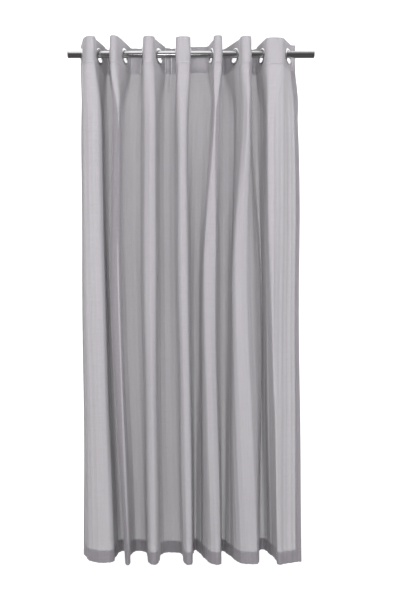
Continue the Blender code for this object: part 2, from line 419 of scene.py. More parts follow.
@dataclass(frozen=True)
class ThreadFinish:
    """Twisted sewing thread.

    Attributes:
        name: The material's name.
        colour: The thread's colour.
        twist: The length of one turn of its plies.
    """

    name: str = "sewing_thread"
    colour: tuple[float, float, float] = (0.46, 0.45, 0.47)
    twist: float = 0.0006

    def make(self) -> bpy.types.Material:
        """Builds the material and returns it."""
        material, s, bsdf = principled(self.name)
        along = s.node("TexCoord").outputs["Object"]
        x, y, z = s.node("SeparateXYZ", along).outputs
        lay = s.math("MULTIPLY", s.math("ADD", s.math("ADD", x, y), z), math.tau / self.twist)
        ply = s.math("ADD", 0.5, s.math("MULTIPLY", s.math("SINE", lay), 0.5))
        tone = s.node("VectorMath", (*self.colour,), None, operation="SCALE")
        s.feed(tone.inputs["Scale"], s.math("ADD", 0.88, s.math("MULTIPLY", ply, 0.2)))
        bump = s.node("Bump", 0.3, 0.0002)
        s.feed(bump.inputs["Height"], ply)
        for socket, value in (("Base Color", tone.outputs[0]), ("Roughness", 0.7),
                              ("Sheen Weight", 0.2), ("Normal", bump.outputs[0])):
            s.feed(bsdf.inputs[socket], value)
        return material


@dataclass(frozen=True)
class MetalFinish:
    """Polished or plated metal.

    Attributes:
        name: The material's name.
        colour: The metal's colour.
        roughness: How soft its reflections are.
        haze: How much that changes over the surface.
        grain: The scale of its polishing marks on each axis.
    """

    name: str
    colour: tuple[float, float, float]
    roughness: float
    haze: float = 0.12
    grain: tuple[float, float, float] = (900.0, 900.0, 900.0)

    def make(self, wear: bpy.types.NodeTree) -> bpy.types.Material:
        """Builds the material.

        Args:
            wear: The metal's node group.

        Returns:
            The material.
        """
        material, s, bsdf = principled(self.name)
        place = s.stretched(s.node("TexCoord").outputs["Object"], self.grain)
        worn = s.node("Group", node_tree=wear)
        for socket, value in (("Place", place), ("Roughness", self.roughness), ("Haze", self.haze)):
            s.feed(worn.inputs[socket], value)
        tone = s.node("VectorMath", (*self.colour,), None, operation="SCALE")
        s.feed(tone.inputs["Scale"], worn.outputs["Tone"])
        bump = s.node("Bump", 0.04, 0.0002)
        s.feed(bump.inputs["Height"], worn.outputs["Height"])
        for socket, value in (("Base Color", tone.outputs[0]), ("Metallic", 1.0),
                              ("Roughness", worn.outputs["Roughness"]), ("Normal", bump.outputs[0])):
            s.feed(bsdf.inputs[socket], value)
        return material


@dataclass
class Finishes:
    """Every material of the panel and the pole, each built once."""

    voile: ClothFinish = ClothFinish("voile", (0.264, 0.248, 0.272), cover=0.80)
    doubled: ClothFinish = ClothFinish("voile_turned_over", (0.26, 0.246, 0.268), cover=0.90, slubs=0.08)
    pressed: ClothFinish = ClothFinish("voile_over_tape", (0.337, 0.321, 0.346), cover=0.66, slubs=0.10)
    tape: TapeFinish = TapeFinish()
    thread: ThreadFinish = ThreadFinish()
    silver: MetalFinish = MetalFinish("silver_ring", (0.80, 0.80, 0.81), 0.16)
    back_silver: MetalFinish = MetalFinish("silver_back_ring", (0.66, 0.66, 0.67), 0.24)
    steel: MetalFinish = MetalFinish("polished_steel", (0.66, 0.655, 0.66), 0.20,
                                     grain=(25.0, 1400.0, 1400.0))
    plug_steel: MetalFinish = MetalFinish("plug_steel", (0.46, 0.455, 0.46), 0.32)
    made: dict[str, bpy.types.Material] = field(default_factory=dict)

    def build(self) -> None:
        """Makes the materials."""
        weave, wear = weave_group(), wear_group()
        for key in ("voile", "doubled", "pressed"):
            self.made[key] = getattr(self, key).make(weave)
        for key in ("tape", "thread"):
            self.made[key] = getattr(self, key).make()
        for key in ("silver", "back_silver", "steel", "plug_steel"):
            self.made[key] = getattr(self, key).make(wear)

    def __getitem__(self, key: str) -> bpy.types.Material:
        """Returns the material of one finish."""
        return self.made[key]


# The hang of the cloth


@dataclass(frozen=True)
class Hung:
    """One eyelet as the frame has it.

    Attributes:
        number: Counted from 1 at the left.
        body: The body that it moves with.
        centre: The middle of its hole, midway through the cloth.
        face: The direction in which its front ring looks.
        half: Half of its depth, from the back ring's face to the front ring's.
        radius: Its outer radius.
    """

    number: int
    body: str
    centre: Vector
    face: Vector
    half: float
    radius: float

    @classmethod
    def read(cls, number: int) -> "Hung":
        """Measures an eyelet's place from its two rings.

        Args:
            number: Which eyelet, from 1.

        Returns:
            The eyelet.
        """
        names = [f"eyelet_{number:02d}_{side}" for side in ("front", "back")]
        rings = [np.array([v.co for v in frame["nodes"][name].data.vertices]) for name in names]
        centres = [np.unique(np.round(ring, 6), axis=0).mean(axis=0) for ring in rings]
        face = Vector(centres[0] - centres[1])
        face.z = 0.0
        face.normalize()
        both = np.concatenate(rings)
        along = both @ np.array(face)
        middle = (along.max() + along.min()) / 2
        corner = Vector((both.min(axis=0) + both.max(axis=0)) / 2)
        centre = corner + face * (middle - corner.dot(face))
        body = next(b for b, members in frame["record"]["behaviour"]["bodies"].items() if names[0] in members)
        height = both[:, 2].max() - both[:, 2].min()
        return cls(number, body, centre, face, (along.max() - along.min()) / 2, height / 2)

    @property
    def place(self) -> Matrix:
        """The matrix that puts a ring turned about Z on this eyelet's axis."""
        up = Vector((0.0, 0.0, 1.0))
        turn = Matrix((up.cross(self.face), up, self.face)).transposed().to_4x4()
        return Matrix.Translation(self.centre) @ turn


@dataclass(frozen=True)
class Section:
    """The plan of the folds at one height.

    Attributes:
        z: The height.
        flat: Half the straight stretch of cloth about each fold line.
        square: How boxy the loops between the lines are (1: round).
        lines: For each line, between two folds: its share of the eyelets' span, its place in
            Y, its turn in degrees from square to the pole (positive: further right towards
            the back), and the turn of the front loop's side that starts from it.
    """

    z: float
    flat: float
    square: float
    lines: tuple[tuple[float, float, float, float], ...]


@dataclass(frozen=True)
class Pucker:
    """A narrow upright dent in the header between two eyelets.

    Attributes:
        after: The eyelet on its left, from 1.
        share: How far it is towards the next eyelet.
        width: The dent's width.
        depth: Its depth, or minus its height if it stands out to the front.
    """

    after: int
    share: float
    width: float
    depth: float


UPPER = Section(z=-0.25, flat=0.018, square=1.6, lines=(
    (0.004, 0.002, -12.0, -12.0),
    (0.094, 0.000, 2.0, -18.0),
    (0.172, 0.000, -2.0, 36.0),
    (0.182, 0.000, 2.0, -36.0),
    (0.296, 0.000, -4.0, -3.0),
    (0.362, 0.000, 8.0, -14.0),
    (0.460, 0.000, 0.0, 5.0),
    (0.514, 0.000, -2.0, -12.0),
    (0.641, 0.000, -3.0, 34.0),
    (0.651, 0.000, 2.0, -34.0),
    (0.757, 0.000, -18.0, -14.0),
    (0.818, 0.000, -2.0, -6.0),
    (0.888, 0.000, -8.0, 18.0),
    (1.009, 0.000, 48.0, 40.0),
))
MIDDLE = Section(z=-0.95, flat=0.012, square=1.5, lines=(
    (0.006, 0.004, -14.0, -14.0),
    (0.112, -0.004, 0.0, -18.0),
    (0.167, 0.004, -2.0, 40.0),
    (0.177, 0.004, 2.0, -40.0),
    (0.298, 0.004, -4.0, 0.0),
    (0.363, 0.004, 4.0, -13.0),
    (0.466, 0.002, -2.0, 8.0),
    (0.516, 0.004, -2.0, -10.0),
    (0.587, 0.006, 0.0, 8.0),
    (0.650, 0.004, 6.0, -10.0),
    (0.728, 0.006, 0.0, 16.0),
    (0.832, -0.004, 30.0, 26.0),
    (0.896, 0.002, -8.0, -8.0),
    (1.008, -0.010, 56.0, 56.0),
))
HEM = Section(z=-2.0768, flat=0.012, square=3.0, lines=(
    (0.026, -0.004, -26.0, -30.0),
    (0.158, -0.008, 6.0, -4.0),
    (0.221, 0.006, -2.0, 9.0),
    (0.234, 0.006, 2.0, -9.0),
    (0.318, 0.006, -7.0, -6.0),
    (0.376, 0.004, 4.0, -2.0),
    (0.492, 0.002, -6.0, -2.0),
    (0.536, 0.004, 6.0, -6.0),
    (0.590, 0.000, -18.0, -22.0),
    (0.674, -0.002, -2.0, -2.0),
    (0.735, -0.006, -24.0, -16.0),
    (0.857, -0.016, 2.0, 2.0),
    (0.912, 0.045, -20.0, -24.0),
    (1.000, -0.052, 74.0, 60.0),
))
HEADER_FRONTS = (-26.0, -9.0, -4.0, 20.0, -4.0, -1.0, 5.0, -10.0, 13.0, -5.0, -2.0, 0.0, -19.0, 15.0)
PUCKERS = (
    Pucker(2, 0.42, 0.011, 0.0050),
    Pucker(2, 0.64, 0.009, -0.0030),
    Pucker(4, 0.38, 0.009, 0.0065),
    Pucker(4, 0.60, 0.009, 0.0060),
    Pucker(6, 0.36, 0.007, 0.0065),
    Pucker(6, 0.50, 0.007, 0.0065),
    Pucker(6, 0.64, 0.007, 0.0060),
    Pucker(8, 0.50, 0.020, -0.0040),
    Pucker(12, 0.40, 0.008, 0.0060),
    Pucker(12, 0.60, 0.008, 0.0060),
)


@dataclass(frozen=True)
class Sway:
    """A slow wave down one measure of the fold lines, a little different on each line.

    Attributes:
        measure: Which one: 0 and 1 its place in X and Y, 2 its turn, 3 its front turn.
        size: How far it goes, in metres or degrees.
        rate: How fast it goes down the cloth, in radians a metre.
        shift: How much further on it starts on each next line, in radians.
        power: What the line's number is raised to for that shift.
    """

    measure: int
    size: float
    rate: float
    shift: float
    power: int = 1


SWAYS = (
    Sway(0, 0.0016, 3.1, 1.7),
    Sway(0, 0.0010, 7.3, 2.9),
    Sway(1, 0.0015, 2.3, 0.9, power=2),
    Sway(2, 2.0, 2.7, 2.1),
    Sway(2, 1.2, 6.1, 4.3),
    Sway(3, 2.0, 2.1, 1.3),
    Sway(3, 1.2, 5.3, 3.1),
)


@dataclass(frozen=True)
class Ripple:
    """Small upright waves of the cloth below the header.

    Attributes:
        height: How far they stand out.
        length: From crest to crest.
        wander: How far the crests stray to the side, in radians of a wave.
        rate: How fast they stray down the cloth, in radians a metre.
        start: Where the straying starts, in radians.
        bend: How much they follow the broad bend that all of them share.
    """

    height: float
    length: float
    wander: float
    rate: float
    start: float
    bend: float


RIPPLES = (
    Ripple(0.0013, 0.057, 1.4, 1.3, 0.0, 1.0),
    Ripple(0.0011, 0.023, 2.0, 0.9, 1.0, 1.0),
    Ripple(0.0008, 0.0131, 3.0, 0.7, 2.0, 0.0),
)


@dataclass
class Drape:
    """How the flat cloth hangs: it takes (distance across, height, offset) to a place.

    Attributes:
        eyelets: The eyelets, left to right.
        width: The cloth's flat width.
        margin: From a side edge to the nearest eyelet.
        top: The height of the header's top edge.
        header_end: The height of the header's lower edge.
        bottom: The height of the hem's lower edge.
        header_flat: Half the straight stretch of cloth about each eyelet.
        header_square: How boxy the header's loops are.
        header_curl: How far the header's right end turns out beyond its eyelet, in degrees.
        level_step: The distance between the heights at which the plan is worked out.
        column_step: The distance between its points across.
        softness: How many times the plan is smoothed.
        loop_points: How many points each loop's curve is worked out at.
        halvings: How many times the search for a loop's length is halved.
        sway_fade: Over which depth below the header the fold lines start to sway.
        ripple_fade: The same for the ripples.
        pucker_fade: Over which depth below the header its puckers die out.
        sections: The folds' plans below the header, top to bottom.
    """

    eyelets: list[Hung]
    width: float = 2.286
    margin: float = 0.051
    top: float = 0.0502
    header_end: float = -0.0578
    bottom: float = -2.0768
    header_flat: float = 0.036
    level_step: float = 0.014
    column_step: float = 0.003
    header_square: float = 6.0
    header_curl: float = 55.0
    softness: int = 2
    loop_points: int = 61
    halvings: int = 26
    sway_fade: float = 0.35
    ripple_fade: float = 0.22
    pucker_fade: float = 0.16
    sections: tuple[Section, ...] = (UPPER, MIDDLE, HEM)

    def __post_init__(self) -> None:
        """Works the folds' plan out at every level."""
        self.pitch = (self.width - 2 * self.margin) / (len(self.eyelets) - 1)
        drop = self.top - self.bottom
        self.levels = np.linspace(self.top, self.bottom, round(drop / self.level_step) + 1)
        self.columns = np.linspace(0.0, self.width, round(self.width / self.column_step) + 1)
        self._knots()
        plans = [self._plan(*self._lines_at(z)) for z in self.levels]
        self.points = np.array(plans)
        way = np.gradient(self.points, axis=1)
        way /= np.linalg.norm(way, axis=2, keepdims=True)
        self.faces = np.stack([way[..., 1], -way[..., 0]], axis=2)

    def _knots(self) -> None:
        """Collects the fold lines of the header and of each section, top to bottom."""
        first, last = self.eyelets[0].centre.x, self.eyelets[-1].centre.x
        header = []
        for index, (eyelet, front) in enumerate(zip(self.eyelets, HEADER_FRONTS)):
            way = Vector((-eyelet.face.y, eyelet.face.x)) * (1 if index % 2 else -1)
            turn = math.degrees(math.atan2(way.x, way.y))
            header.append((eyelet.centre.x, eyelet.centre.y, turn, front))
        self.knot_z = [self.header_end, *(section.z for section in self.sections)]
        self.knot_loop = [np.array((self.header_flat, self.header_square, self.header_curl)),
                          *(np.array((section.flat, section.square, 0.0)) for section in self.sections)]
        self.knots = [np.array(header)]
        for section in self.sections:
            self.knots.append(np.array([(first + share * (last - first), *rest)
                                        for share, *rest in section.lines]))

    def _lines_at(self, z: float) -> tuple[np.ndarray, float, float, float]:
        """The fold lines at a height, on a smooth curve through the sections' lines.

        Args:
            z: The height.

        Returns:
            The lines as rows of (x, y, turn, front turn), the flat stretch's half length,
            the squareness and the curl.
        """
        heights, knots = self.knot_z, self.knots
        if z >= heights[0]:
            return knots[0], *self.knot_loop[0]
        i = next(k for k in range(1, len(heights)) if z >= heights[k] or k == len(heights) - 1)
        span = heights[i] - heights[i - 1]
        t = (z - heights[i - 1]) / span

        def slope(k: int) -> np.ndarray:
            """The lines' change with height at a section."""
            below, above = min(k + 1, len(heights) - 1), max(k - 1, 0)
            return (knots[below] - knots[above]) / (heights[below] - heights[above])

        lines = (knots[i - 1] * (1 + 2 * t) * (1 - t) ** 2 + slope(i - 1) * span * t * (1 - t) ** 2
                 + knots[i] * t * t * (3 - 2 * t) - slope(i) * span * t * t * (1 - t))
        loop = self.knot_loop[i - 1] * (1 - t) + self.knot_loop[i] * t
        free = smooth((heights[0] - z) / self.sway_fade)
        for wave in SWAYS:
            start = wave.shift * np.arange(len(lines)) ** wave.power
            lines[:, wave.measure] += free * wave.size * np.sin(wave.rate * z + start)
        return lines, *loop

    def _plan(self, lines: np.ndarray, flat: float, square: float, curl: float) -> np.ndarray:
        """The cloth's plan: straight stretches about the lines, and a loop between each two.

        Args:
            lines: Rows of (x, y, turn, front turn).
            flat: Half the straight stretch about each line.
            square: How boxy the loops are.
            curl: How far the right side edge turns out beyond its eyelet, in degrees.

        Returns:
            The points (x, y) at the drape's columns.
        """
        places = lines[:, :2]
        back = np.where(np.arange(len(lines)) % 2 == 1, 1.0, -1.0)
        ways, fronts = [back[:, None] * np.stack([np.sin(turns), np.cos(turns)], axis=1)
                        for turns in np.radians(lines[:, 2:]).T]
        in_front = (back < 0)[:-1, None]
        leave = np.where(in_front, fronts[:-1], ways[:-1])
        arrive = np.where(in_front, fronts[1:], ways[1:])
        starts, ends = places[:-1] + ways[:-1] * flat, places[1:] - ways[1:] * flat
        length = self.pitch - 2 * flat
        t = np.linspace(0.0, 1.0, self.loop_points)[:, None, None]
        low, high = np.zeros(len(starts)), np.full(len(starts), length)
        for _ in range(self.halvings):
            handle = (low + high) / 2
            a, b = starts + leave * handle[:, None], ends - arrive * handle[:, None]
            shares = ((1 - t) ** 3, 3 * square * t * (1 - t) ** 2, 3 * square * t * t * (1 - t), t**3)
            loop = sum(p * share for p, share in zip((starts, a, b, ends), shares)) / sum(shares)
            steps = np.linalg.norm(np.diff(loop, axis=0), axis=2)
            short = steps.sum(axis=0) < length
            low, high = np.where(short, handle, low), np.where(short, high, handle)
        distances, points = [0.0, self.margin], [places[0] - ways[0] * self.margin, places[0]]
        for number in range(len(starts)):
            begin = self.margin + number * self.pitch
            travelled = np.concatenate([[0.0], np.cumsum(steps[:, number])])
            distances.extend(begin + flat + travelled * length / travelled[-1])
            points.extend(loop[:, number])
            distances.append(begin + self.pitch)
            points.append(places[number + 1])
        ring = min(flat, self.eyelets[-1].radius)
        out = math.radians(lines[-1, 2] + curl)
        distances.extend((self.width - self.margin + ring, self.width))
        points.append(places[-1] + ways[-1] * ring)
        points.append(points[-1] + np.array((math.sin(out), math.cos(out))) * (self.margin - ring))
        points = np.array(points)
        plan = np.stack([np.interp(self.columns, distances, points[:, k]) for k in range(2)], axis=1)
        for _ in range(self.softness):
            plan[1:-1] = (plan[:-2] + 2 * plan[1:-1] + plan[2:]) / 4
        return plan

    def eyelet_at(self, number: int) -> float:
        """The distance from the left edge to an eyelet, counted from 1."""
        return self.margin + (number - 1) * self.pitch

    def _ripple(self, across: np.ndarray, z: np.ndarray) -> np.ndarray:
        """Small waves of the cloth, out of the folds' smooth surface.

        Args:
            across: Distances from the left edge.
            z: Heights.

        Returns:
            How far each point stands out to the front.
        """
        free = smooth((self.header_end - z) / self.ripple_fade)
        bend = 0.9 * np.sin(1.9 * z + 5.0 * across)
        moved = np.zeros(len(across))
        for wave in RIPPLES:
            stray = wave.wander * np.sin(wave.rate * z + wave.start) + wave.bend * bend
            moved = moved + free * wave.height * np.sin(across * math.tau / wave.length + stray)
        in_header = smooth((z - self.header_end) / self.pucker_fade + 1.0)
        for pucker in PUCKERS:
            middle = self.eyelet_at(pucker.after) + pucker.share * self.pitch
            moved = moved - in_header * pucker.depth * np.exp(-(((across - middle) / pucker.width) ** 2))
        return moved

    def hang(self, flat: np.ndarray) -> np.ndarray:
        """Hangs points of the flat cloth.

        Args:
            flat: Rows of (distance from the left edge, height, offset to the front).

        Returns:
            Rows of (x, y, z).
        """
        across, z, offset = flat.T
        i = np.clip(across / self.width * (len(self.columns) - 1), 0, len(self.columns) - 1.001)
        j = np.clip((self.top - z) / (self.top - self.bottom) * (len(self.levels) - 1), 0,
                    len(self.levels) - 1.001)
        i0, j0 = i.astype(int), j.astype(int)
        u, v = (i - i0)[:, None], (j - j0)[:, None]
        place, face = [
            (table[j0, i0] * (1 - u) + table[j0, i0 + 1] * u) * (1 - v)
            + (table[j0 + 1, i0] * (1 - u) + table[j0 + 1, i0 + 1] * u) * v
            for table in (self.points, self.faces)
        ]
        face /= np.linalg.norm(face, axis=1, keepdims=True)
        out = offset + self._ripple(across, z)
        return np.column_stack([place + face * out[:, None], z])


# The cloth


def steps_between(start: float, stop: float, step: float) -> list[float]:
    """Evenly spaced values from start to stop, about step apart."""
    count = max(1, round(abs(stop - start) / step))
    return [start + (stop - start) * k / count for k in range(count + 1)]


@dataclass
class CurtainCloth:
    """The voile with its header, hems and stitching.

    Attributes:
        drape: The hang of the cloth.
        finishes: The materials.
        header: The header's height.
        hem: The bottom hem's height.
        side_hem: The side hems' width.
        tape_inset: From the header's edges to the stiff tape's.
        gap: The distance from one layer's middle to the next one's.
        hole: The radius that the cloth is cut to inside each eyelet.
        column: The distance between the cloth's edges across.
        row: The same, downwards.
        stitch: The length of one stitch.
        stitch_pitch: The distance from stitch to stitch.
        thread: The thread's thickness.
        seam_inset: From a hem's inner edge to its row of stitches.
        seam_end: From the side edges to the ends of the rows that run across.
    """

    drape: Drape
    finishes: Finishes
    header: float = 0.108
    hem: float = 0.050
    side_hem: float = 0.025
    tape_inset: float = 0.003
    gap: float = 0.0007
    hole: float = 0.0265
    column: float = 0.0058
    row: float = 0.0150
    stitch: float = 0.0028
    stitch_pitch: float = 0.0045
    thread: float = 0.0007
    seam_inset: float = 0.005
    seam_end: float = 0.001

    def build(self) -> None:
        """Makes every cloth piece and hangs it on the folds."""
        d = self.drape
        hem_top = d.bottom + self.hem
        columns = self._columns(0.0, d.width)
        header_rows = steps_between(d.top, d.header_end, self.row / 2)
        rows = header_rows + steps_between(d.header_end, d.bottom, self.row)[1:]
        hem_rows = steps_between(hem_top, d.bottom, self.row / 2)
        rests = [f"eyelet_{e.number:02d}_ring" for e in d.eyelets]

        panel = self._layer("voile_cloth", columns, rows, self.gap, "voile", "pressed", holes=True)
        self._settle(panel, "voile_panel", "voile", (d.width, d.top - d.bottom), rests)
        inset = self.tape_inset
        tape_size = (d.width - 2 * inset, self.header - 2 * inset)
        tape_rows = steps_between(d.top - inset, d.header_end + inset, self.row / 2)
        tape = self._layer("header_tape_layer", self._columns(inset, d.width - inset), tape_rows, 0.0, "tape",
                           holes=True)
        self._settle(tape, "header_stiffener", "stiffener", tape_size, rests)
        over = self._layer("header_turned_over", columns, header_rows, -self.gap, "doubled", holes=True)
        self._settle(over, "header_turnover", "voile_turned_over", (d.width, self.header), rests)
        up = self._layer("bottom_hem_cloth", columns, hem_rows, 0.0, "doubled")
        self._settle(up, "bottom_hem_turnup", "voile_turned_over", (d.width, self.hem), ["voile_cloth"])
        side_rows = steps_between(d.header_end, hem_top, self.row)
        for name, start, stop in (("left", 0.0, self.side_hem), ("right", d.width - self.side_hem, d.width)):
            side = self._layer(f"{name}_side_hem_cloth", self._columns(start, stop), side_rows, 0.0,
                               "doubled")
            self._settle(side, f"{name}_side_hem", "voile_turned_over",
                         (self.side_hem, d.header_end - hem_top), ["voile_cloth"])
        self._seams(hem_top)

    def _columns(self, start: float, stop: float) -> list[float]:
        """Distances across at which the cloth has a line of corners."""
        return steps_between(start, stop, self.column)

    def _layer(self, name: str, columns: list[float], rows: list[float], offset: float,
               *finishes: str, holes: bool = False) -> bpy.types.Object:
        """Cuts a layer of cloth flat and hangs it.

        Args:
            name: The piece's name.
            columns: Distances from the left edge.
            rows: Heights, from the top down.
            offset: How far it lies to the front of the middle of the cloth.
            finishes: The key of its finish, and of another one in the header if it has one.
            holes: Whether the eyelets' holes are cut in it.

        Returns:
            The hung layer.
        """
        bm = bmesh.new()
        bmesh.ops.create_grid(bm, x_segments=len(columns) - 1, y_segments=len(rows) - 1, size=0.5)
        for vert in bm.verts:
            column = round((vert.co.x + 0.5) * (len(columns) - 1))
            row = round((0.5 - vert.co.y) * (len(rows) - 1))
            vert.co = (columns[column], rows[row], offset)
        for face in bm.faces:
            in_header = face.calc_center_median().y > self.drape.header_end
            face.material_index = len(finishes) - 1 if in_header else 0
        if holes:
            self._cut_holes(bm)
        return self._hung(object_from(bm, name, *(self.finishes[key] for key in finishes)))

    def _cut_holes(self, bm: bmesh.types.BMesh) -> None:
        """Cuts the eyelets' holes in a flat layer.

        Args:
            bm: The flat layer.
        """
        d = self.drape
        height = d.eyelets[0].centre.z
        centres = [Vector((d.eyelet_at(e.number), height, 0.0)) for e in d.eyelets]

        def nearest(point: Vector) -> Vector:
            """The hole's centre that is nearest to a point."""
            number = min(max(round((point.x - d.margin) / d.pitch), 0), len(centres) - 1)
            return centres[number]

        def away(point: Vector) -> float:
            """The distance of a point from the nearest hole's centre."""
            return (point.xy - nearest(point).xy).length

        rim = self.hole + self.column * 1.2
        cut = [face for face in bm.faces if away(face.calc_center_median()) < self.hole]
        bmesh.ops.delete(bm, geom=cut, context="FACES")
        for vert in bm.verts:
            if vert.is_boundary and away(vert.co) < rim:
                centre = nearest(vert.co)
                out = (vert.co.xy - centre.xy).normalized() * self.hole
                vert.co.xy = centre.xy + out

    def _hung(self, obj: bpy.types.Object) -> bpy.types.Object:
        """Keeps the flat place of each point as the cloth's UV map, and hangs the piece.

        Args:
            obj: A piece in flat coordinates.

        Returns:
            The same piece, hung.
        """
        mesh = obj.data
        flat = np.zeros(len(mesh.vertices) * 3)
        mesh.vertices.foreach_get("co", flat)
        flat = flat.reshape(-1, 3)
        corner = np.zeros(len(mesh.loops), int)
        mesh.loops.foreach_get("vertex_index", corner)
        layer = mesh.uv_layers.new(name="flat_cloth")
        layer.data.foreach_set("uv", flat[corner][:, :2].ravel())
        mesh.vertices.foreach_set("co", self.drape.hang(flat).ravel())
        mesh.update()
        return obj

    def _settle(self, obj: bpy.types.Object, node: str, slot: str, flat: tuple[float, float] | None = None,
                rests: list[str] | None = None) -> None:
        """Ties a piece to the bodies and to the node that it stands for.

        Args:
            obj: The piece.
            node: The node that it replaces.
            slot: The record's material slot; not used.
            flat: The cut size of a sheet, or None for stitching; not used.
            rests: What the sheet hangs from; not used.
        """
        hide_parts(node)
        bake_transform(obj)
        log.info("%s stands for %s: %d faces", obj.name, node, len(obj.data.polygons))

    def _seams(self, hem_top: float) -> None:
        """Sews the header, the bottom hem and the two side hems.

        Args:
            hem_top: The height of the bottom hem's upper edge.
        """
        d = self.drape
        inset = self.side_hem - self.seam_inset
        left, right = self.seam_end, d.width - self.seam_end
        for name, run, at, start, stop in (
            ("header_stitching", Run.ACROSS, d.header_end + self.seam_inset, left, right),
            ("bottom_hem_stitching", Run.ACROSS, hem_top - self.seam_inset, left, right),
            ("left_side_stitching", Run.DOWN, inset, d.header_end, hem_top),
            ("right_side_stitching", Run.DOWN, d.width - inset, d.header_end, hem_top),
        ):
            count = round(abs(stop - start) / self.stitch_pitch)
            step = (stop - start) / count
            across = run is Run.ACROSS
            centre, move = ((start, at), (step, 0, 0)) if across else ((at, start), (0, step, 0))
            size = (self.stitch, self.thread) if across else (self.thread, self.stitch)
            matrix = (Matrix.Translation((*centre, self.gap + self.thread / 2))
                      @ Matrix.Diagonal((*size, self.thread * 0.7, 1.0)))
            bm = bmesh.new()
            bmesh.ops.create_uvsphere(bm, u_segments=6, v_segments=4, radius=0.5, matrix=matrix)
            bmesh.ops.spin(bm, geom=[*bm.verts, *bm.edges, *bm.faces], axis=(0, 0, 1), angle=0.0,
                           dvec=move, steps=count, use_duplicate=True)
            row = self._hung(object_from(bm, f"{name}_row", self.finishes["thread"]))
            self._settle(row, name, "thread")


# The rings


@dataclass
class EyeletRing:
    """An eyelet's two rings: the front one carries the barrel through the cloth.

    Attributes:
        eyelet: Its place in the frame.
        finishes: The materials.
        hole: The hole's radius.
        wall: The barrel's wall.
        lift: From the middle of the cloth to each ring's seat.
        dome: The radius of the rings' rounded shoulders.
        sunk: How far the barrel's end lies inside the back ring's face.
        play: The gap between the barrel and the back ring.
        steps: The facets round a ring.
    """

    eyelet: Hung
    finishes: Finishes
    hole: float = 0.024
    wall: float = 0.0011
    lift: float = 0.0012
    dome: float = 0.0042
    sunk: float = 0.0008
    play: float = 0.0003
    steps: int = 56

    def build(self) -> None:
        """Turns both rings and seats them in place of the frame's."""
        for side, profile, finish in (
            (Side.FRONT, self._front_profile(), "silver"),
            (Side.BACK, self._back_profile(), "back_silver"),
        ):
            word = side.name.lower()
            label = "ring" if side is Side.FRONT else "back_ring"
            ring = object_from(turned(profile, self.steps, self.eyelet.place),
                               f"eyelet_{self.eyelet.number:02d}_{label}", self.finishes[finish])
            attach(ring, self.eyelet.body)
            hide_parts(f"eyelet_{self.eyelet.number:02d}_{word}")
            log.info("%s rides on %s", ring.name, self.eyelet.body)

    def _front_profile(self) -> list[tuple[float, float]]:
        """The front ring's section: a rolled lip, a domed face, a beaded rim and the barrel."""
        top, low = self.eyelet.half, self.sunk - self.eyelet.half
        rim, lip, foot = 0.0006, 0.0014, 0.0003
        outer = self.eyelet.radius
        return [
            *arc((outer - rim, self.lift + rim), rim, -70, 50, 5),
            *arc((outer - self.dome, top - self.dome), self.dome, 62, 92, 4),
            *arc((self.hole + lip, top - lip), lip, 88, 180, 6),
            (self.hole, low + foot),
            (self.hole + foot, low),
            (self.hole + self.wall, low),
            (self.hole + self.wall, self.lift),
        ]

    def _back_profile(self) -> list[tuple[float, float]]:
        """The back ring's section: flat to the cloth, rounded away from it."""
        bore = self.hole + self.wall + self.play
        outer, deep, rim, edge = self.eyelet.radius, -self.eyelet.half, 0.0007, 0.0008
        return [
            (bore, -self.lift),
            *arc((outer - rim, -self.lift - rim), rim, 80, -50, 5),
            *arc((outer - self.dome, deep + self.dome), self.dome, -62, -92, 4),
            *arc((bore + edge, deep + edge), edge, 268, 180, 4),
        ]


# The pole


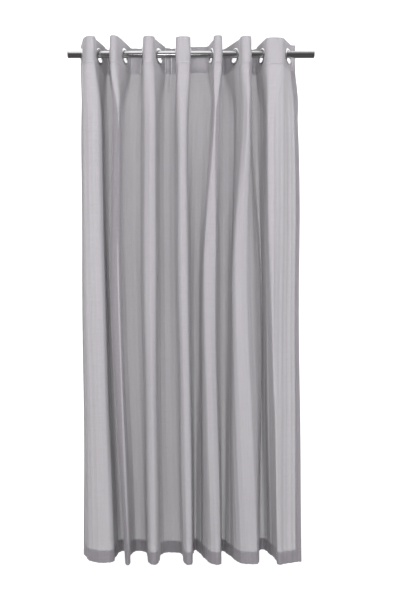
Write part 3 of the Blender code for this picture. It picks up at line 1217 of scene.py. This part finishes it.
@dataclass
class Pole:
    """The steel pole: a thin tube with a flat plug in each end.

    Attributes:
        finishes: The materials.
        wall: The tube's wall.
        head: The thickness of each plug's head, outside the tube.
        play: The gap between a plug and the tube.
        edge: The rounding of the tube's and the plugs' edges.
        steps: The facets round the pole.
    """

    finishes: Finishes
    wall: float = 0.001
    head: float = 0.003
    play: float = 0.0003
    edge: float = 0.0005
    steps: int = 96

    def build(self) -> None:
        """Turns the tube and the plugs in place of the frame's."""
        low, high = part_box("pole_tube")
        self.radius = (high.z - low.z) / 2
        along = Matrix.Rotation(math.pi / 2, 4, "Y")
        self._settle(turned(self._tube_profile(low.x, high.x), self.steps, along),
                     "pole_tube", "steel_tube", "steel", "pole_steel")
        for side, way in (("left", -1.0), ("right", 1.0)):
            low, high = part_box(f"pole_plug_{side}")
            seat, tip = (low.x, high.x) if side == "left" else (high.x, low.x)
            depth = abs(tip - seat)
            place = Matrix.Translation((seat, 0.0, 0.0)) @ Matrix.Rotation(way * math.pi / 2, 4, "Y")
            self._settle(turned(self._plug_profile(depth), self.steps, place),
                         f"pole_plug_{side}", f"steel_end_plug_{side}", "plug_steel", "plug_steel")

    def _tube_profile(self, left: float, right: float) -> list[tuple[float, float]]:
        """The tube's section from its left end to its right end."""
        e, outer, bore = self.edge, self.radius, self.radius - self.wall
        return [
            *arc((outer - e, right - e), e, 90, 0, 3),
            *arc((outer - e, left + e), e, 0, -90, 3),
            (bore, left),
            (bore, right),
        ]

    def _plug_profile(self, depth: float) -> list[tuple[float, float]]:
        """A plug's section: a domed head outside the tube, and its shank inside."""
        e = self.edge * 1.6
        bore = self.radius - self.wall - self.play
        return [
            (0.0, 0.0),
            (self.radius * 0.55, -0.0001),
            *arc((self.radius - e, -e - 0.0002), e, 90, 0, 4),
            (self.radius, -self.head),
            (bore, -self.head),
            *arc((bore - e, e - depth), e, 0, -90, 2),
            (0.0, -depth),
        ]

    def _settle(self, bm: bmesh.types.BMesh, node: str, name: str, finish: str, slot: str) -> None:
        """Makes a turned piece stand for its node.

        Args:
            bm: The turned piece.
            node: The node that it replaces.
            name: The piece's name.
            finish: The key of its finish.
            slot: The record's material slot; not used.
        """
        obj = object_from(bm, name, self.finishes[finish])
        obj.data.set_sharp_from_angle(angle=math.radians(50))
        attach(obj, "pole")
        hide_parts(node)
        log.info("%s stands for %s", name, node)


# The room


@dataclass
class Studio:
    """A pale wall and floor, soft lights and the camera.

    Attributes:
        eye: The camera's place.
        lens: Its focal length in millimetres, on a 36 mm sensor.
        shift: Its sideways shift.
        floor: The floor's height.
        wall: The wall's place behind the cloth.
        wall_glow: How strongly the wall shines by itself.
        wall_bounce: How strongly the wall lights the panel.
        floor_glow: The same for the floor.
        floor_bounce: How strongly the floor lights the panel.
        paint: The colour of the wall and the floor.
        mirror: The brightness of the floor and the far room in mirrors.
        wall_mirror: The same for the upper part of the wall.
        mirror_band: The heights between which the wall changes from dim to bright in mirrors.
        ceiling: The brightness of the ceiling in mirrors.
        key: The power of the large front light, in watts.
        sides: The power of each side light.
        fill: The power of the light from above.
        wash: The power of the light on the wall.
        strip: The power of the slim light that the pole mirrors.
        ambient: The strength of the even light all round.
    """

    eye: tuple[float, float, float] = (0.0, -2.6, -1.013)
    lens: float = 37.8
    shift: float = 0.015
    floor: float = -2.12
    wall: float = 0.21
    wall_glow: float = 0.86
    wall_bounce: float = 0.30
    floor_glow: float = 0.90
    floor_bounce: float = 0.30
    paint: tuple[float, float, float, float] = (0.4, 0.4, 0.4, 1.0)
    mirror: float = 0.09
    wall_mirror: float = 1.5
    mirror_band: tuple[float, float] = (-0.10, 0.15)
    ceiling: float = 1.1
    key: float = 152.0
    sides: float = 90.0
    fill: float = 50.0
    wash: float = 6.0
    strip: float = 9.0
    ambient: float = 0.05

    def build(self) -> None:
        """Sets the room up."""
        bpy.context.scene.view_settings.view_transform = "Standard"
        self._camera()
        self._backdrop()
        self._lights()
        self._world()

    def _camera(self) -> None:
        """Puts the camera level in front of the panel."""
        data = bpy.data.cameras.new("camera")
        data.lens = self.lens
        data.shift_x = self.shift
        data.clip_start, data.clip_end = 0.05, 60.0
        camera = bpy.data.objects.new("camera", data)
        camera.location = self.eye
        camera.rotation_euler = (math.pi / 2, 0.0, 0.0)
        bpy.context.scene.collection.objects.link(camera)
        bpy.context.scene.camera = camera

    def _backdrop(self) -> None:
        """Makes the floor, and the wall, which can be seen only from its front."""
        for name, glow, bounce, mirror, matrix in (
            ("studio_floor", self.floor_glow, self.floor_bounce, self.mirror,
             Matrix.Translation((0.0, 0.0, self.floor))),
            ("studio_wall", self.wall_glow, self.wall_bounce, self.wall_mirror,
             Matrix.Translation((0.0, self.wall, 0.0)) @ Matrix.Rotation(math.pi / 2, 4, "X")),
        ):
            bm = bmesh.new()
            bmesh.ops.create_grid(bm, x_segments=1, y_segments=1, size=7.0, matrix=matrix)
            object_from(bm, name, self._paint(name, glow, bounce, mirror))

    def _paint(self, name: str, glow: float, bounce: float, mirror: float) -> bpy.types.Material:
        """A pale paint that lights itself, is clear from behind and has its own look in mirrors.

        Args:
            name: The material's name.
            glow: How strongly it shines by itself.
            bounce: How strongly it lights what is near it.
            mirror: How bright its upper part is in mirrors.

        Returns:
            The material.
        """
        material, s, bsdf = principled(name)
        looked_at = s.node("LightPath").outputs["Is Camera Ray"]
        shine = s.math("ADD", bounce, s.math("MULTIPLY", looked_at, glow - bounce))
        for socket, value in (("Base Color", self.paint), ("Roughness", 0.95),
                              ("Emission Color", (1.0, 1.0, 1.0, 1.0)), ("Emission Strength", shine)):
            s.feed(bsdf.inputs[socket], value)
        height = s.node("SeparateXYZ", s.node("NewGeometry").outputs["Position"]).outputs[2]
        mirrored = s.node("MapRange", height, *self.mirror_band, self.mirror, mirror,
                          interpolation_type="SMOOTHSTEP").outputs[0]
        reflected = s.node("Emission", (1.0, 1.0, 1.0, 1.0), mirrored)
        in_mirror = s.node("LightPath").outputs["Is Glossy Ray"]
        seen = s.node("MixShader", in_mirror, bsdf.outputs[0], reflected.outputs[0])
        behind = s.node("NewGeometry").outputs["Backfacing"]
        mixed = s.node("MixShader", behind, seen.outputs[0], s.node("BsdfTransparent").outputs[0])
        s.feed(material.node_tree.nodes["Material Output"].inputs["Surface"], mixed.outputs[0])
        return material

    def _lights(self) -> None:
        """Soft lights in front and at both sides, one overhead, a wall wash and a slim low one."""
        for name, place, aim, size, power in (
            ("front_light", (0.1, -4.0, -1.5), (0.0, 0.0, 5.0), (2.4, 1.6), self.key),
            ("left_light", (-3.0, -3.2, -1.3), (0.0, 0.0, 3.5), (1.4, 1.6), self.sides),
            ("right_light", (3.0, -3.2, -1.3), (0.0, 0.0, 3.5), (1.4, 1.6), self.sides),
            ("top_light", (0.0, -1.1, 2.1), (0.0, 0.0, -0.4), (3.0, 1.0), self.fill),
            ("wall_light", (0.0, 0.02, 1.3), (0.0, self.wall, -0.6), (2.6, 0.1), self.wash),
            ("strip_light", (-0.42, -3.2, -1.25), (-0.2, 0.0, 0.0), (0.7, 0.55), self.strip),
        ):
            data = bpy.data.lights.new(name, "AREA")
            data.shape = "RECTANGLE"
            data.size, data.size_y = size
            data.energy = power
            light = bpy.data.objects.new(name, data)
            light.location = place
            light.rotation_euler = (Vector(aim) - Vector(place)).to_track_quat("-Z", "Y").to_euler()
            light.visible_glossy = name == "strip_light"
            bpy.context.scene.collection.objects.link(light)

    def _world(self) -> None:
        """Even pale light all round, with a bright ceiling and a dimmer right side in mirrors."""
        world = bpy.data.worlds.new("studio_air")
        world.use_nodes = True
        s = Shader(world.node_tree)
        paths = s.node("LightPath").outputs
        lit = s.math("ADD", self.ambient, s.math("MULTIPLY", paths["Is Camera Ray"], 1.0 - self.ambient))
        across, _, up = s.node("SeparateXYZ", s.node("TexCoord").outputs["Generated"]).outputs
        high = s.node("MapRange", up, 0.30, 0.62, 0.0, self.ceiling - self.mirror,
                      interpolation_type="SMOOTHSTEP").outputs[0]
        right = s.node("MapRange", across, 0.02, 0.24, 1.0, 0.35, interpolation_type="SMOOTHSTEP").outputs[0]
        room = s.math("ADD", self.mirror - self.ambient, s.math("MULTIPLY", high, right))
        background = world.node_tree.nodes["Background"]
        s.feed(background.inputs["Color"], (1.0, 1.0, 1.0, 1.0))
        s.feed(background.inputs["Strength"],
               s.math("ADD", lit, s.math("MULTIPLY", paths["Is Glossy Ray"], room)))
        bpy.context.scene.world = world


def main() -> None:
    """Builds the room, the pole, the rings and the cloth, in that order."""
    logging.basicConfig(level=logging.INFO, format="%(message)s")
    Studio().build()
    finishes = Finishes()
    finishes.build()
    Pole(finishes).build()
    eyelets = [Hung.read(number + 1) for number in range(EYELET_COUNT)]
    for eyelet in eyelets:
        EyeletRing(eyelet, finishes).build()
    CurtainCloth(Drape(eyelets), finishes).build()


if __name__ == "__main__":
    main()
